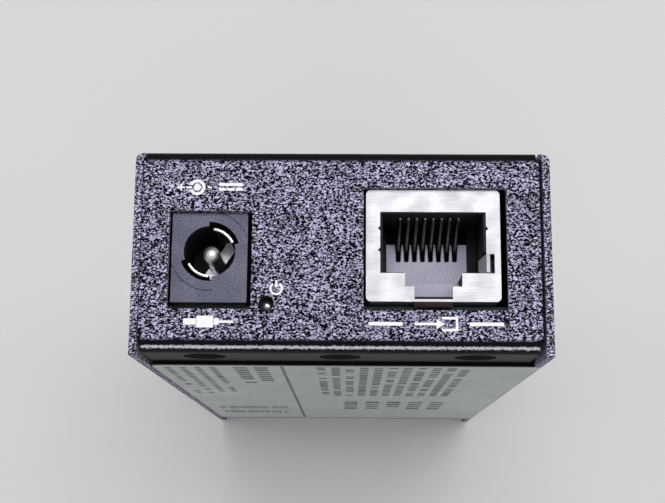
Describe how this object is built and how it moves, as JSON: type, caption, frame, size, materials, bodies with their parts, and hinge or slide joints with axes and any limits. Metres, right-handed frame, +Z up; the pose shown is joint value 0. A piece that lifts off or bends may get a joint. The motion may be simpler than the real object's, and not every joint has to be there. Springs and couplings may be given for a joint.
{
  "type": "hdmi extender",
  "caption": "Small black sheet-metal receiver box with a round power socket, a network socket and a power light in one end panel and a video socket in the other, label on its underside.",
  "frame": {"origin": "centre of the rectangle that the case stands on: the rim of the cover at the output end, at floor height", "axes": "the case stands on its output end, as it is shown: +Z runs up along its length to the input panel, -Y is the label face and +Y the cover's top face, and +X runs across the width, with the power socket at the -X side and the network socket at the +X side"},
  "size_m": [0.05, 0.025, 0.109],
  "materials": {
    "case_coat": "fine black wrinkle powder coat on sheet steel",
    "label_sheet": "pale satin film label",
    "insulating_film": "thin smooth film",
    "black_screws": "blackened steel, satin",
    "brass": "plain turned brass",
    "plated_screws": "zinc-plated steel",
    "circuit_board": "green solder mask",
    "tin_plate": "bright tinned sheet",
    "black_plastic": "moulded, satin",
    "contact_block_plastic": "moulded, matt",
    "gold_plate": "gold-plated bronze",
    "nickel_plate": "nickel-plated, bright",
    "clear_plastic": "clear moulded light guide, polished",
    "lamp_lens": "small moulded lamp",
    "chip_plastic": "moulded epoxy",
    "soft_pad": "soft heat-conducting pad",
    "bare_aluminium": "bare extruded and drawn metal",
    "ferrite": "pressed ferrite, matt",
    "green_chip": "small moulded chip",
    "ceramic": "fired ceramic with tinned ends"
  },
  "bodies": {
    "case": {"cover": "case_coat", "input_panel": "case_coat", "output_panel": "case_coat", "bottom_plate": "case_coat", "label": "label_sheet", "insulating_sheet": "insulating_film", "flange_screws": "black_screws", "standoffs": "brass", "board_screws": "plated_screws", "main_board": "circuit_board", "network_shield": "tin_plate", "network_housing": "black_plastic", "network_contact_block": "contact_block_plastic", "network_terminals": "gold_plate", "power_housing": "black_plastic", "power_pin": "nickel_plate", "power_terminals": "nickel_plate", "light_pipe": "clear_plastic", "power_light": "lamp_lens", "video_shell": "tin_plate", "video_tongue": "black_plastic", "video_contacts": "gold_plate", "receiver_chip": "chip_plastic", "thermal_pad": "soft_pad", "heat_sink": "bare_aluminium", "line_transformer": "chip_plastic", "transformer_lead_set": "nickel_plate", "power_inductor": "ferrite", "capacitor_cans": "bare_aluminium", "capacitor_bases": "chip_plastic", "crystal": "nickel_plate", "regulator": "chip_plastic", "memory_chip": "chip_plastic", "chip_leads": "nickel_plate", "fuse": "green_chip", "ceramic_capacitors": "ceramic", "surge_arrays": "chip_plastic"},
    "network_contacts": {"network_contact_springs": "gold_plate"},
    "upper_sleeve_spring": {"power_spring_upper": "nickel_plate"},
    "lower_sleeve_spring": {"power_spring_lower": "nickel_plate"}
  },
  "joints": [
    {"name": "network_contacts_flex", "type": "hinge", "parent": "case", "child": "network_contacts", "pos_m": [0.0107, 0.0049, 0.105], "axis": [1, 0, 0], "range_deg": [0, 12], "stiffness_Nm_per_rad": 0.06},
    {"name": "upper_sleeve_spring_flex", "type": "hinge", "parent": "case", "child": "upper_sleeve_spring", "pos_m": [-0.01416, 0.00263, 0.099], "axis": [-0.809, 0.5878, 0], "range_deg": [0, 2.5], "stiffness_Nm_per_rad": 0.03},
    {"name": "lower_sleeve_spring_flex", "type": "hinge", "parent": "case", "child": "lower_sleeve_spring", "pos_m": [-0.01747, -0.00219, 0.099], "axis": [0.8387, -0.5446, 0], "range_deg": [0, 2.5], "stiffness_Nm_per_rad": 0.03}
  ],
  "couplings": [
    {"joint": "lower_sleeve_spring_flex", "follows": "upper_sleeve_spring_flex", "ratio": 1}
  ]
}
